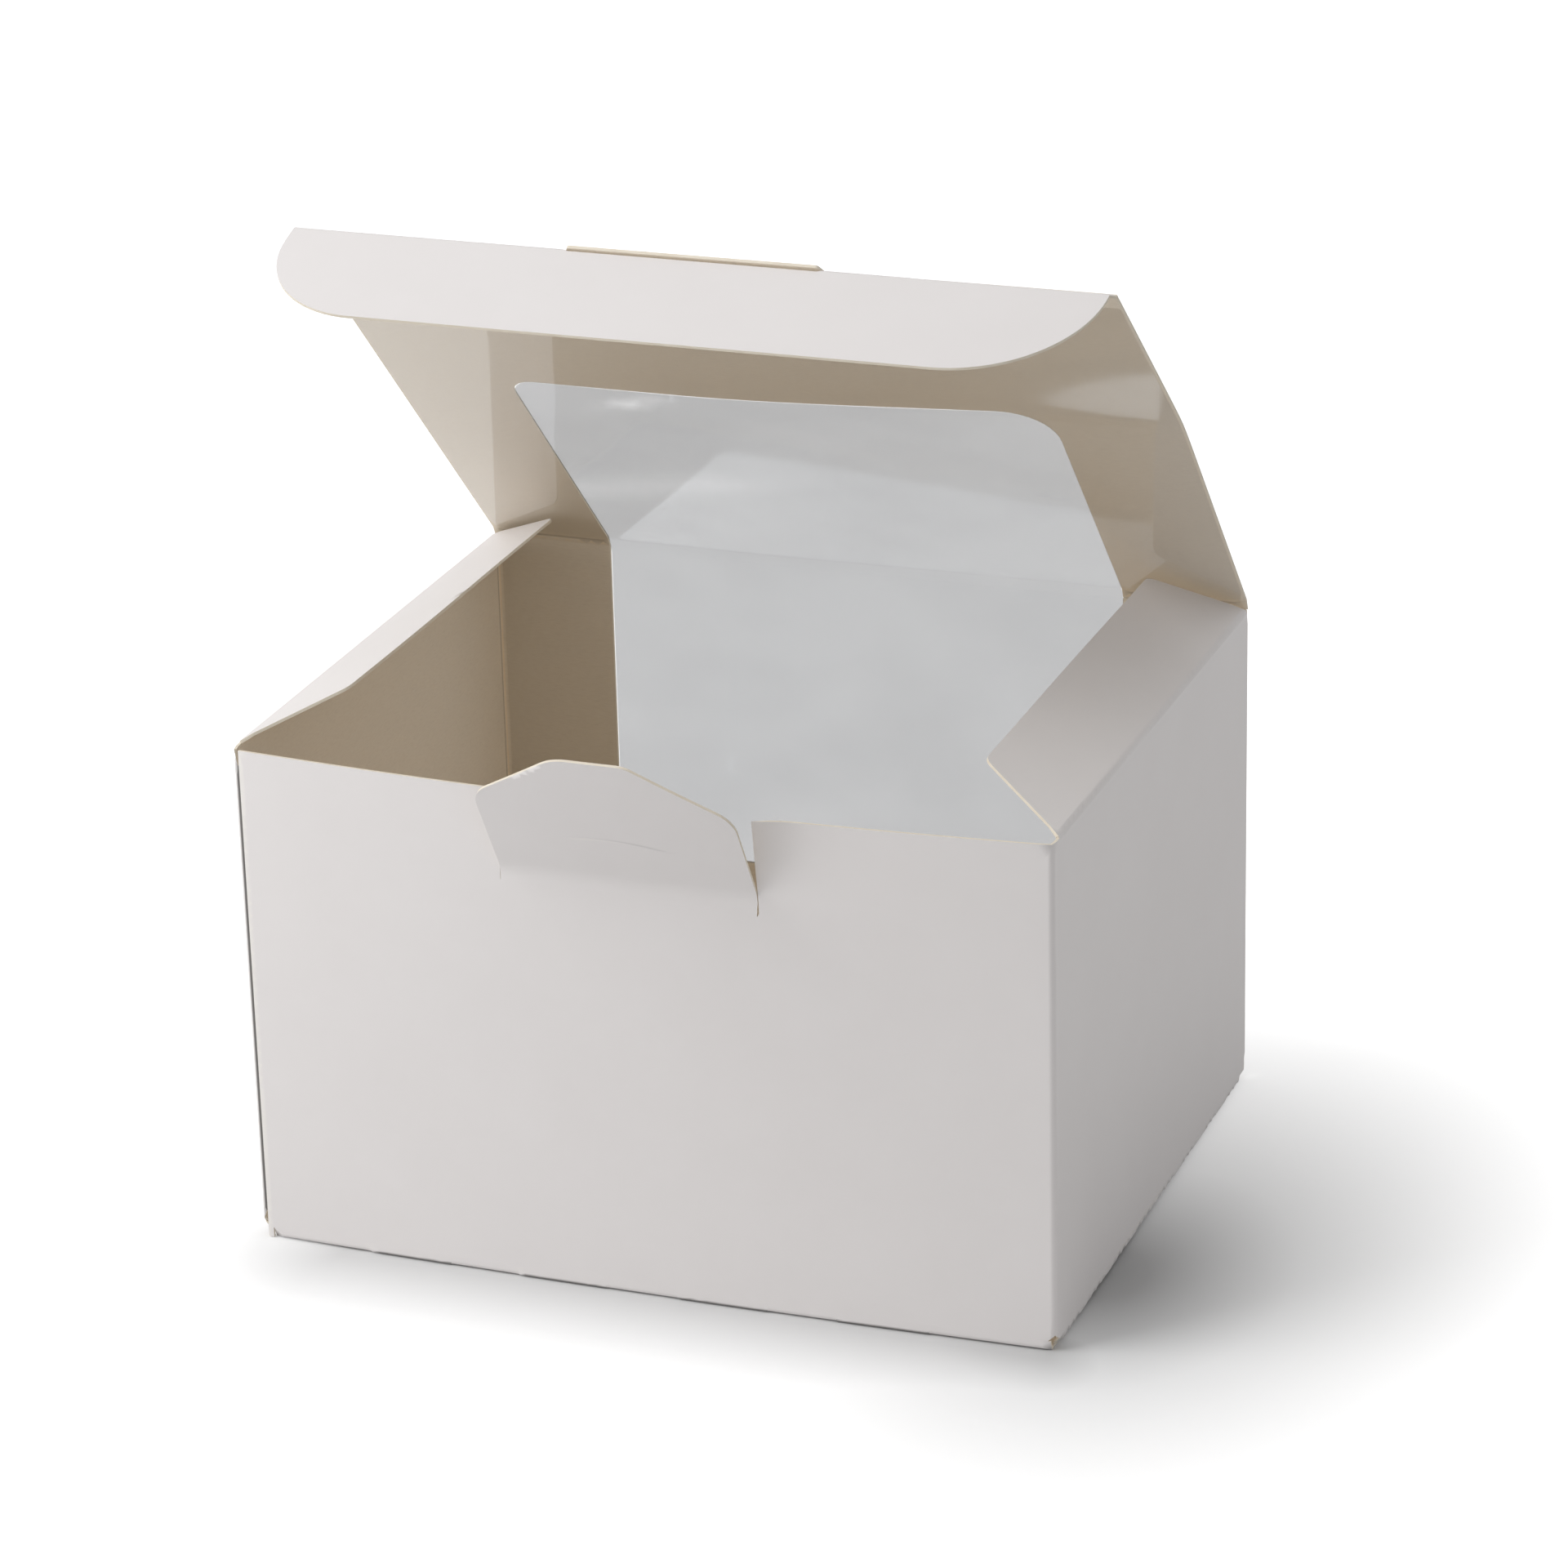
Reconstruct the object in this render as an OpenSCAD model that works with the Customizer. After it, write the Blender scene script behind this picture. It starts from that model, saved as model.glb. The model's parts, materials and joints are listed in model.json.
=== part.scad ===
// Window pastry box: one folded sheet of coated board with a clear film over its window.
// X runs along the front, Y runs from the front to the back, Z is up.
// The origin is the middle of the base, on the surface that the box stands on.
// Every size is in millimetres.

/* [Carton] */
// Width of the box over its side walls
box_w = 150; // [110:1:220]
// Depth of the box over its front and back walls
box_d = 118; // [96:1:180]
// Height of the rim of the front and side walls
box_h = 94; // [70:1:140]
// Thickness of the board
board_t = 0.5; // [0.4:0.05:0.8]
// Outside radius of an upright fold
fold_r = 1; // [0.9:0.1:2]
// How far the middle of the front wall bows out
front_bow = 3; // [3:0.5:8]
// Width of the glue flap behind the front wall
glue_flap_w = 13; // [8:1:20]
// How far the glue flap is cut back at its top and bottom
glue_flap_cut = 5; // [4:0.5:10]
// Step from the left wall to the raw edge of the front wall at the glued corner
seam_step = 0.5; // [0.2:0.1:1]

/* [Lid] */
// Length of the lid from its hinge fold to its front fold
lid_l = 116.5; // [92:0.5:178]
// How far each side edge of the lid stands in from the outside of the box
lid_inset = 0.25; // [0:0.05:1]
// Angle between the standing lid and level
lid_rest = 45.5; // [35:0.5:60]
// Width of the lock stub that stays in the lid's plane
stub_w = 47; // [30:1:60]
// Length of the lock stub past the front fold
stub_l = 3; // [2.5:0.5:5]
// Radius of the corners of the lock stub
stub_r = 2.5; // [1:0.5:2.5]

/* [Tuck flap] */
// Width of the tuck flap
tuck_w = 148; // [106:1:218]
// Height of the tuck flap from its fold to its free edge
tuck_h = 24.5; // [20:0.5:30]
// Radius of the big round corners of the tuck flap
tuck_r = 20; // [10:1:20]
// Angle that the tuck flap is folded down from the lid's plane
tuck_rest = 64; // [50:1:80]

/* [Dust flaps] */
// Width of a dust flap from its fold to its free edge
dust_w = 18; // [12:1:24]
// Gap between the front wall's inner face and the front end of the dust flap's fold
dust_front_gap = 3; // [2.5:0.5:6]
// Gap between the back wall's inner face and the back end of the dust flap's fold
dust_back_gap = 1; // [0.8:0.1:3]
// How far the front edge of a dust flap slants back over its width
dust_front_slant = 11; // [6:1:16]
// How far the back edge of a dust flap slants forward over its width
dust_back_slant = 9.5; // [9.5:0.5:16]
// Radius of the back free corner of a dust flap
dust_back_r = 6; // [2:0.5:8]
// Radius of the front free corner of a dust flap
dust_front_r = 3; // [1:0.5:5]
// Angle that a dust flap stands above level
dust_rest = 25; // [15:1:35]

/* [Lock tongue] */
// Width of the tongue between its slits
tongue_w = 47; // [30:1:60]
// Depth of the slits below the rim
slit_depth = 17; // [10:1:22]
// Length of the tongue from its fold to its tip
tongue_l = 34.5; // [26:0.5:40]
// Height above the fold up to which the tongue's sides run straight
tongue_side = 23; // [16:0.5:24]
// Width of the blunt tip before its corners are rounded
tongue_tip_w = 13; // [6:1:20]
// Radius of the tongue's shoulders
shoulder_r = 6; // [3:0.5:8]
// Radius of the corners of the tip
tip_r = 4; // [1:0.5:4]
// Lean of the tongue out from upright at its fold
tongue_lean = 34; // [25:1:45]
// How much the tongue curls back towards upright up to its tip
tongue_curl = 7; // [0:1:14]

/* [Window] */
// Width of the window
window_w = 102; // [60:1:104]
// Length of the window in the lid from the hinge fold
window_lid_l = 65; // [40:1:80]
// Drop of the window in the back wall below the rim
window_drop = 62; // [30:1:64]
// Radius of the window's corners in the lid
window_r = 7; // [2:0.5:12]
// Radius of the window's corners in the back wall
window_back_r = 6; // [2:0.5:12]
// Width of the film's glued margin each side of the window
film_side_margin = 21; // [5:0.5:22]
// Width of the film's glued margin in front of the window in the lid
film_front_margin = 46; // [5:1:48]
// Width of the film's glued margin under the window in the back wall
film_back_margin = 8.5; // [5:0.5:10]
// Thickness of the film
film_t = 0.1; // [0.05:0.01:0.15]

/* [Base] */
// Depth of the outer base flap, from the front wall
base_front_d = 71; // [50:1:90]
// Depth of the inner base flap, from the back wall
base_back_d = 67; // [50:1:90]
// Reach of each side base flap
base_side_w = 50; // [30:1:54]
// How far the free corners of the base flaps are cut away
base_taper = 16; // [8:1:24]
// How far each side edge of a base flap slants in
base_slant = 2; // [1:0.5:6]
// Width of the base lock
base_lock_w = 50; // [30:1:60]
// Length of the base lock past the outer base flap
base_lock_l = 15; // [8:1:24]
// Radius of the corners of the base lock
base_lock_r = 6; // [2:1:7]
// Length of the board that passes up through the base notch
base_step = 3; // [2:0.5:5]

/* [Clearances] */
// Gap between a folding panel and the edge that it folds on
fold_gap = 0.1; // [0.05:0.05:0.3]
// Gap each side of a die-cut slit
slit_gap = 0.15; // [0.1:0.05:0.3]
// Gap between the two parts of the film and the hinge fold
film_gap = 0.6; // [0.4:0.1:1]

/* [Hidden] */

board_white = "whitesmoke";
film_clear = "lightsteelblue";

half_w = box_w / 2;
half_d = box_d / 2;
half_t = board_t / 2;

// The folds. Each one lies in the middle of the board's thickness.
dust_fold_x = half_w - half_t;
dust_fold_z = box_h + fold_gap + half_t;
lid_fold_y = half_d - half_t;
lid_fold_z = dust_fold_z + board_t + film_t + fold_gap;
back_rim = lid_fold_z - half_t - fold_gap;
tongue_fold_z = box_h - slit_depth;
tongue_notch_z = tongue_fold_z - half_t - fold_gap;

// The outer face of the front wall at x: it bows out between its upright folds.
front_span = half_w - fold_r;
function front_y(x) = -half_d - front_bow * (1 - pow(min(abs(x) / front_span, 1), 2));

tongue_fold_y = front_y(0) + half_t;

// Points of an arc about a centre, from one angle to another.
function arc_points(centre, r, from, to, steps = 6) =
    [for (i = [0:steps]) centre + r * [cos(from + (to - from) * i / steps), sin(from + (to - from) * i / steps)]];

function unit(v) = v / norm(v);
function short_turn(a) = a > 180 ? a - 360 : (a < -180 ? a + 360 : a);

// The corner at p, between a and b, rounded with radius r.
function round_corner(a, p, b, r, steps = 8) =
    let (to_a = unit(a - p), to_b = unit(b - p),
         half = acos(to_a * to_b) / 2,
         centre = p + unit(to_a + to_b) * r / sin(half),
         start = p + to_a * r / tan(half) - centre,
         end = p + to_b * r / tan(half) - centre,
         first = atan2(start.y, start.x),
         turn = short_turn(atan2(end.y, end.x) - first))
    arc_points(centre, r, first, first + turn, steps);

// An outline with each corner rounded by the radius in its place of the list.
function soft_outline(points, radii) =
    let (n = len(points))
    [for (i = [0:n - 1])
        for (q = radii[i] == 0 ? [points[i]]
                 : round_corner(points[(i + n - 1) % n], points[i], points[(i + 1) % n], radii[i])) q];

// A flat sheet of the given thickness, with its middle at z = 0.
module sheet(points, t = board_t) {
    translate([0, 0, -t / 2])
        linear_extrude(height = t)
            polygon(points);
}

// The round edge of a folded panel, lying along X from x0 to x1.
module fold_edge(x0, x1) {
    translate([x0, 0, 0])
        rotate([0, 90, 0])
            cylinder(h = x1 - x0, r = half_t, $fn = 24);
}

// Points along the bowed front wall, set back from its outer face by depth.
function front_line(x0, x1, depth, steps) =
    [for (i = [0:steps]) let (x = x0 + (x1 - x0) * i / steps) [x, front_y(x) + depth]];

// Plan of the walls' outside, from the raw edge at the glued front left corner.
function outside_plan() =
    let (x = front_span, y = half_d - fold_r, seam_y = -y + board_t, raw_x = -half_w + seam_step)
    concat(front_line(raw_x, x - fold_r, 0, 24),
           arc_points([x, -y], fold_r, -90, 0), arc_points([x, y], fold_r, 0, 90),
           arc_points([-x, y], fold_r, 90, 180), arc_points([-x, seam_y], fold_r, 180, 270),
           [[raw_x, front_y(raw_x) + board_t]]);

// Plan of the walls' inside, from the free edge of a glue flap of width w behind the front wall.
function inside_plan(w) =
    let (x = front_span, y = half_d - fold_r, seam_y = -y + board_t, r_in = fold_r - board_t)
    concat(front_line(-x + w, x - fold_r, board_t, 22),
           arc_points([x, -y], r_in, -90, 0), arc_points([x, y], r_in, 0, 90),
           arc_points([-x, y], r_in, 90, 180), arc_points([-x, seam_y], r_in, 180, 270),
           front_line(-x + board_t, -x + w, 2 * board_t, 4));

// The folded walls, with the glue flap behind the front wall and a back rim that is a little higher.
module walls() {
    difference() {
        linear_extrude(height = back_rim)
            polygon(outside_plan());
        translate([0, 0, -1])
            linear_extrude(height = back_rim + 2)
                polygon(inside_plan(glue_flap_w));
        translate([0, 0, -1])
            linear_extrude(height = glue_flap_cut + 1)
                polygon(inside_plan(fold_r));
        translate([0, 0, box_h - glue_flap_cut])
            linear_extrude(height = glue_flap_cut + back_rim)
                polygon(inside_plan(fold_r));
        translate([-box_w, -box_d, box_h])
            cube([2 * box_w, box_d + half_d - fold_r, box_h]);
    }
}

// The window in the back wall, open at the rim.
module back_window() {
    half = window_w / 2;
    bottom = box_h - window_drop;
    top = lid_fold_z + board_t;
    translate([0, half_d + board_t, 0])
        rotate([90, 0, 0])
            linear_extrude(height = 3 * board_t)
                polygon(soft_outline([[-half, top], [-half, bottom], [half, bottom], [half, top]],
                                     [0, window_back_r, window_back_r, 0]));
}

// The outer base flap, folded from the front wall, with the lock that passes inside through the notch.
module outer_base_flap() {
    back = -half_d + base_front_d;
    side = half_w - board_t - fold_gap;
    lock = base_lock_w / 2;
    linear_extrude(height = board_t)
        polygon(concat(front_line(-side, side, half_t, 24),
                       [[side - base_slant, back - base_taper], [side - base_taper, back],
                        [base_taper - side, back], [base_slant - side, back - base_taper]]));
    translate([-lock, back - base_step, 0])
        cube([base_lock_w, base_step, 4 * board_t]);
    translate([0, 0, 3 * board_t])
        linear_extrude(height = board_t)
            polygon(soft_outline([[-lock, back - base_step], [lock, back - base_step],
                                  [lock, back + base_lock_l], [-lock, back + base_lock_l]],
                                 [0, 0, base_lock_r, base_lock_r]));
}

// A side base flap, in the layer above the outer one, for the right wall.
module side_base_flap() {
    wall = half_w - half_t;
    reach = half_w - base_side_w;
    end = half_d - board_t - base_slant;
    translate([0, 0, board_t])
        linear_extrude(height = board_t)
            polygon([[wall, -end], [wall, end], [reach, end - base_taper], [reach, base_taper - end]]);
}

// The inner base flap, folded from the back wall, with the notch for the lock.
module inner_base_flap() {
    back = half_d - half_t;
    front = half_d - base_back_d;
    side = half_w - board_t - fold_gap;
    notch = base_lock_w / 2 + slit_gap;
    notch_back = -half_d + base_front_d + slit_gap;
    translate([0, 0, 2 * board_t])
        linear_extrude(height = board_t)
            polygon([[-side, back], [base_slant - side, front + base_taper], [base_taper - side, front],
                     [-notch, front], [-notch, notch_back], [notch, notch_back], [notch, front],
                     [side - base_taper, front], [side - base_slant, front + base_taper], [side, back]]);
}

// The notch that the bent tongue leaves in the front wall.
module tongue_notch() {
    reach = front_bow + 4 * board_t;
    translate([-tongue_w / 2 - slit_gap, -half_d - reach, tongue_notch_z])
        cube([tongue_w + 2 * slit_gap, 2 * reach, slit_depth + 2]);
}

// The four walls, the glue flap and the locked base: one folded and glued piece.
module carton_body() {
    color(board_white) {
        difference() {
            walls();
            back_window();
            tongue_notch();
        }
        outer_base_flap();
        side_base_flap();
        mirror([1, 0, 0])
            side_base_flap();
        inner_base_flap();
    }
}

// Places what is drawn flat, hinge fold at y = 0 and front fold at y = -lid_l, on the standing lid.
module on_lid() {
    translate([0, lid_fold_y, lid_fold_z])
        rotate([-lid_rest, 0, 0])
            children();
}

// The window in the lid, open at the hinge fold.
module lid_window() {
    sheet(soft_outline([[-window_w / 2, board_t], [-window_w / 2, -window_lid_l],
                        [window_w / 2, -window_lid_l], [window_w / 2, board_t]],
                       [0, window_r, window_r, 0]), 3 * board_t);
}

// The lid: a frame round the window, with the lock stub past its front fold.
module lid_panel() {
    half_lid = half_w - lid_inset;
    front = -lid_l + half_t + fold_gap;
    color(board_white)
        on_lid() {
            difference() {
                union() {
                    sheet([[-half_lid, 0], [-half_lid, front], [-stub_w / 2, front],
                           [stub_w / 2, front], [half_lid, front], [half_lid, 0]]);
                    sheet(soft_outline([[-stub_w / 2, front + 1], [-stub_w / 2, -lid_l - stub_l],
                                        [stub_w / 2, -lid_l - stub_l], [stub_w / 2, front + 1]],
                                       [0, stub_r, stub_r, 0]));
                    fold_edge(-half_lid, half_lid);
                }
                lid_window();
            }
        }
}

// The tuck flap, notched where the lid's stub was cut from it.
module tuck_flap() {
    half = tuck_w / 2;
    notch = stub_w / 2 + slit_gap;
    color(board_white)
        on_lid()
            translate([0, -lid_l, 0])
                rotate([tuck_rest, 0, 0])
                    difference() {
                        union() {
                            sheet(soft_outline([[-half, 0], [-half, -tuck_h], [half, -tuck_h], [half, 0]],
                                               [0, tuck_r, tuck_r, 0]));
                            fold_edge(-half, half);
                        }
                        sheet(soft_outline([[-notch, 1], [-notch, -stub_l - slit_gap],
                                            [notch, -stub_l - slit_gap], [notch, 1]],
                                           [0, stub_r, stub_r, 0]), 3 * board_t);
                    }
}

// The right dust flap, drawn flat with its fold along Y at x = 0, then raised.
module dust_flap() {
    front = -half_d + board_t + dust_front_gap;
    back = half_d - board_t - dust_back_gap;
    translate([dust_fold_x, 0, dust_fold_z])
        rotate([0, dust_rest, 0]) {
            sheet(soft_outline([[0, front], [-dust_w, front + dust_front_slant],
                                [-dust_w, back - dust_back_slant], [0, back]],
                               [0, dust_front_r, dust_back_r, 0]));
            translate([0, front, 0])
                rotate([-90, 0, 0])
                    cylinder(h = back - front, r = half_t, $fn = 24);
        }
}

module right_dust_flap() {
    color(board_white)
        dust_flap();
}

module left_dust_flap() {
    color(board_white)
        mirror([1, 0, 0])
            dust_flap();
}

// Side view of the tongue: a strip that leaves the fold leaning out and curls back towards upright.
function tongue_line(side, steps = 10) =
    [for (i = [0:steps])
        let (a = tongue_curl * i / steps,
             s = tongue_l * i / steps,
             chord = a == 0 ? 1 : sin(a / 2) / (a / 2 * PI / 180))
        s * chord * [-sin(a / 2), cos(a / 2)] + side * half_t * [cos(a), sin(a)]];

// The lock tongue, leaning out of the front wall.
module lock_tongue() {
    half = tongue_w / 2;
    tip = tongue_tip_w / 2;
    curled = concat(tongue_line(1), [for (i = [len(tongue_line(-1)) - 1:-1:0]) tongue_line(-1)[i]]);
    outline = soft_outline([[-half, -board_t], [-half, tongue_side], [-tip, tongue_l], [tip, tongue_l],
                            [half, tongue_side], [half, -board_t]],
                           [0, shoulder_r, tip_r, tip_r, shoulder_r, 0]);
    color(board_white)
        translate([0, tongue_fold_y, tongue_fold_z])
            rotate([tongue_lean, 0, 0]) {
                intersection() {
                    rotate([90, 0, 90])
                        linear_extrude(height = tongue_w, center = true)
                            mirror([1, 0])
                                polygon(curled);
                    rotate([90, 0, 0])
                        linear_extrude(height = tongue_l, center = true)
                            polygon(outline);
                }
                fold_edge(-half, half);
            }
}

// The part of the film that is glued under the lid.
module window_film_lid() {
    half = min(window_w / 2 + film_side_margin, half_w - board_t - fold_r);
    front = -min(window_lid_l + film_front_margin, lid_l - 3);
    color(film_clear, 0.4)
        on_lid()
            translate([0, 0, -half_t - film_t / 2])
                sheet([[-half, -film_gap], [-half, front], [half, front], [half, -film_gap]], film_t);
}

// The part of the film that is glued inside the back wall.
module window_film_back() {
    half = min(window_w / 2 + film_side_margin, half_w - board_t - fold_r);
    bottom = box_h - window_drop - film_back_margin;
    color(film_clear, 0.4)
        translate([-half, half_d - board_t - film_t, bottom])
            cube([2 * half, film_t, back_rim - film_gap - bottom]);
}

carton_body();
lid_panel();
tuck_flap();
left_dust_flap();
right_dust_flap();
lock_tongue();
window_film_lid();
window_film_back();
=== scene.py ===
# %% [markdown]
# # A pastry box folded from one sheet of board
# The real box is cut from one flat sheet of paperboard, creased, folded and glued at one corner. It
# is white and coated outside, cream and uncoated inside. One clear film closes the window, which
# runs from the lid over the hinge crease and down the back wall.
#
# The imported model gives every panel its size, its place and its joint. This lesson draws the board
# again, as thin sheets with two faces and a raw cut edge, because that is where paper gets its look.

# %% Load the frame
import json
import math

import bpy
import numpy as np
from mathutils import Matrix, Vector, geometry, noise


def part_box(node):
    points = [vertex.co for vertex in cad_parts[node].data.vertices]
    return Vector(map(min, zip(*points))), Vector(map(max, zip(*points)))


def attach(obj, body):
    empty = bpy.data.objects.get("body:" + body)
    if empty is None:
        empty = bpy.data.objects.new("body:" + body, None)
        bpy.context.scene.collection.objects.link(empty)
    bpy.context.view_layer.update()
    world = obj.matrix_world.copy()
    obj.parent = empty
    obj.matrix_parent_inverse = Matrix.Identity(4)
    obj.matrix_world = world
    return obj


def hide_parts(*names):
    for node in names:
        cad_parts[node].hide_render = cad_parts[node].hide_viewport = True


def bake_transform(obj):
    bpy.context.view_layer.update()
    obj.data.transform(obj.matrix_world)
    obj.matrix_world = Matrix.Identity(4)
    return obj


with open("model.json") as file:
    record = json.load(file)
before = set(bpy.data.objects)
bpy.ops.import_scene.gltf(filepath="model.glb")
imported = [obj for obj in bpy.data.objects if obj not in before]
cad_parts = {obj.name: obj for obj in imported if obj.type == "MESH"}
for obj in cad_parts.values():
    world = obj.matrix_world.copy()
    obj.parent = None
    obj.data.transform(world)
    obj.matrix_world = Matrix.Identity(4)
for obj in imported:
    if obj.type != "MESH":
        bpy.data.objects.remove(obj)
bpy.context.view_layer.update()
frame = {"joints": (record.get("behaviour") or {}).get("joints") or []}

# %% [markdown]
# ## Read the folds
# A hinge of the model is a crease of the real sheet. Each crease's place comes from its joint, and
# the outside of the box comes from the walls' own box, so no crease has to be placed by eye. The
# three angles say how far the lid, the tuck flap and the dust flaps lean at rest, in degrees. All
# lengths below are in metres, and `mm` turns millimetres into them.

# %% Folds and outside sizes
mm = 0.001
pivot = {j["name"]: Vector(j["pos_m"]) for j in frame["joints"]}
walls_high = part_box("carton_body")[1]
half_w, half_d = walls_high.x, walls_high.y
board = 0.5 * mm
dust_fold_over_rim = 0.35 * mm
rim = pivot["left_dust_fold"].z - dust_fold_over_rim
lid_length = (pivot["tuck_fold"] - pivot["lid_hinge"]).length
lid_angle, tuck_angle, dust_angle = 45.5, 64, 25
print("rim at", round(rim / mm, 2), "mm, lid", round(lid_length / mm, 1), "mm long")

# %% [markdown]
# ## Soft steps
# Paper has few sudden changes: a bow grows, a lift starts softly and the line of a crease fades out
# at its sides. Three small functions say that in numbers, and most shapes below use one of them.

# %% Soft steps
def held(value):
    """The value, held between 0 and 1."""
    return min(max(value, 0), 1)


def eased(value):
    """From 0 to 1 with a soft start and a soft end."""
    t = held(value)
    return t * t * (3 - 2 * t)


def line_at(value, middle, width):
    """1 on a line and 0 away from it, with a soft edge."""
    return math.exp(-((value - middle) / width) ** 2)


print("a soft step in quarters:", [round(eased(k / 4), 2) for k in range(5)])

# %% [markdown]
# ## Draw an outline
# A die cuts the blank, so every panel starts as a flat outline with a few rounded corners. An
# outline is a list of corners with a radius each. Long sides are divided later, because a panel can
# only bend where it has points.

# %% Outlines with rounded corners
def rounded(corners):
    """The closed outline through corners (u, v, radius), with arcs in place of sharp corners."""
    points = []
    for i, (u, v, radius) in enumerate(corners):
        here = Vector((u, v))
        if radius == 0:
            points.append(here)
            continue
        before = (Vector(corners[i - 1][:2]) - here).normalized()
        after = (Vector(corners[(i + 1) % len(corners)][:2]) - here).normalized()
        half = before.angle(after) / 2
        centre = here + (before + after).normalized() * radius / math.sin(half)
        start = here + before * radius / math.tan(half) - centre
        end = here + after * radius / math.tan(half) - centre
        turn = start.angle_signed(end)
        steps = max(3, int(radius / mm))
        for k in range(steps + 1):
            a = -turn * k / steps
            points.append(centre + Matrix.Rotation(a, 2) @ start)
    return points


def divided(loop, step):
    """The same outline with no side longer than step."""
    points = []
    for a, b in zip(loop, loop[1:] + loop[:1]):
        pieces = max(1, math.ceil((b - a).length / step - 0.01))
        points += [a.lerp(b, k / pieces) for k in range(pieces)]
    return points


def inside(points, loops):
    """Which of the points lie inside the outline and outside its holes."""
    hit = np.zeros(len(points), bool)
    x, y = points[:, 0], points[:, 1]
    for loop in loops:
        for a, b in zip(loop, loop[1:] + loop[:1]):
            if a.y != b.y:
                at = a.x + (y - a.y) * (b.x - a.x) / (b.y - a.y)
                hit ^= ((a.y > y) != (b.y > y)) & (x < at)
    return hit


sample_side = 100 * mm
sample = rounded([(0, 0, 6 * mm), (sample_side, 0, 6 * mm), (sample_side, sample_side, 0),
                  (0, sample_side, 0)])
print("a square with two round corners has", len(sample), "points")

# %% [markdown]
# ## Fill the outline with triangles
# The space inside an outline gets a grid of points, and Blender's own triangulation joins them up
# and keeps every side of the outline. Grid points that lie nearly on a side are left out, because
# they make slivers that show as light specks along the rim.

# %% Triangles inside an outline
side_gap = 0.25 * mm


def grid(low, high, step):
    """Even steps from low to high, with both ends."""
    count = max(1, round((high - low) / step))
    return [low + (high - low) * k / count for k in range(count + 1)]


def joined(loops):
    """The points of closed outlines, and the pairs of points that make their sides."""
    points, sides = [], []
    for loop in loops:
        first, count = len(points), len(loop)
        sides += [(first + k, first + (k + 1) % count) for k in range(count)]
        points += [p[:] for p in loop]
    return np.array(points), sides


def inner_points(columns, rows, loops, edge_points, sides):
    """The grid's points inside the outline, apart from those nearly on one of its sides."""
    points = np.array([(u, v) for u in columns for v in rows])
    points = points[inside(points, loops)]
    starts = edge_points[[a for a, b in sides]]
    runs = edge_points[[b for a, b in sides]] - starts
    square = np.sum(runs ** 2, axis=1)
    gaps = []
    for p in points:
        share = np.clip(np.sum((p - starts) * runs, axis=1) / square, 0, 1)[:, None]
        gaps.append(np.min(np.hypot(*(p - starts - share * runs).T)))
    return points[np.array(gaps) > side_gap]


def filled(loops, patch, columns, rows):
    """Flat points, the triangles between them, and which triangles lie in the patch."""
    edge_points, sides = joined(loops + patch)
    inner = inner_points(columns, rows, loops, edge_points, sides)
    flat = [Vector(p) for p in np.vstack([edge_points, inner])]
    made = geometry.delaunay_2d_cdt(flat, sides, [], 0, 1e-7)
    flat, faces = [p.copy() for p in made[0]], made[2]
    middles = np.array([sum((flat[i] for i in f), Vector((0, 0))) / 3 for f in faces])
    kept = inside(middles, loops)
    patched = inside(middles, patch)[kept]
    faces = [f for f, keep in zip(faces, kept) if keep]
    if sum((flat[b] - flat[a]).cross(flat[c] - flat[a]) for a, b, c in faces[:50]) < 0:
        faces = [f[::-1] for f in faces]
    return flat, faces, patched


sample_grid = grid(0, sample_side, 5 * mm)
print("the square fills with", len(filled([sample], [], sample_grid, sample_grid)[1]), "triangles")

# %% [markdown]
# ## Turn the flat outline into folded board
# Board is thin but not a plane: its raw edge shows as a cream line wherever it was cut. So each
# panel gets an outside skin, an inside skin and an edge strip between them. One function for all
# panels keeps their thickness the same, and it asks a `place` function where each flat point lies
# in the folded box. The flat coordinates stay on the mesh as an attribute, so that a finish can
# follow the sheet round a fold. A `marks` function may paint shade or a highlight into the sheet's
# colour along a line, and a patch may get a finish of its own.

# %% The board builder
OUTSIDE, INSIDE, EDGE, PATCH = 0, 1, 2, 3


def keep_on(mesh, name, kind, domain, field, values):
    """Keep one value, or one vector, for each point or edge of the mesh."""
    mesh.attributes.new(name, kind, domain).data.foreach_set(field, values)


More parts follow.
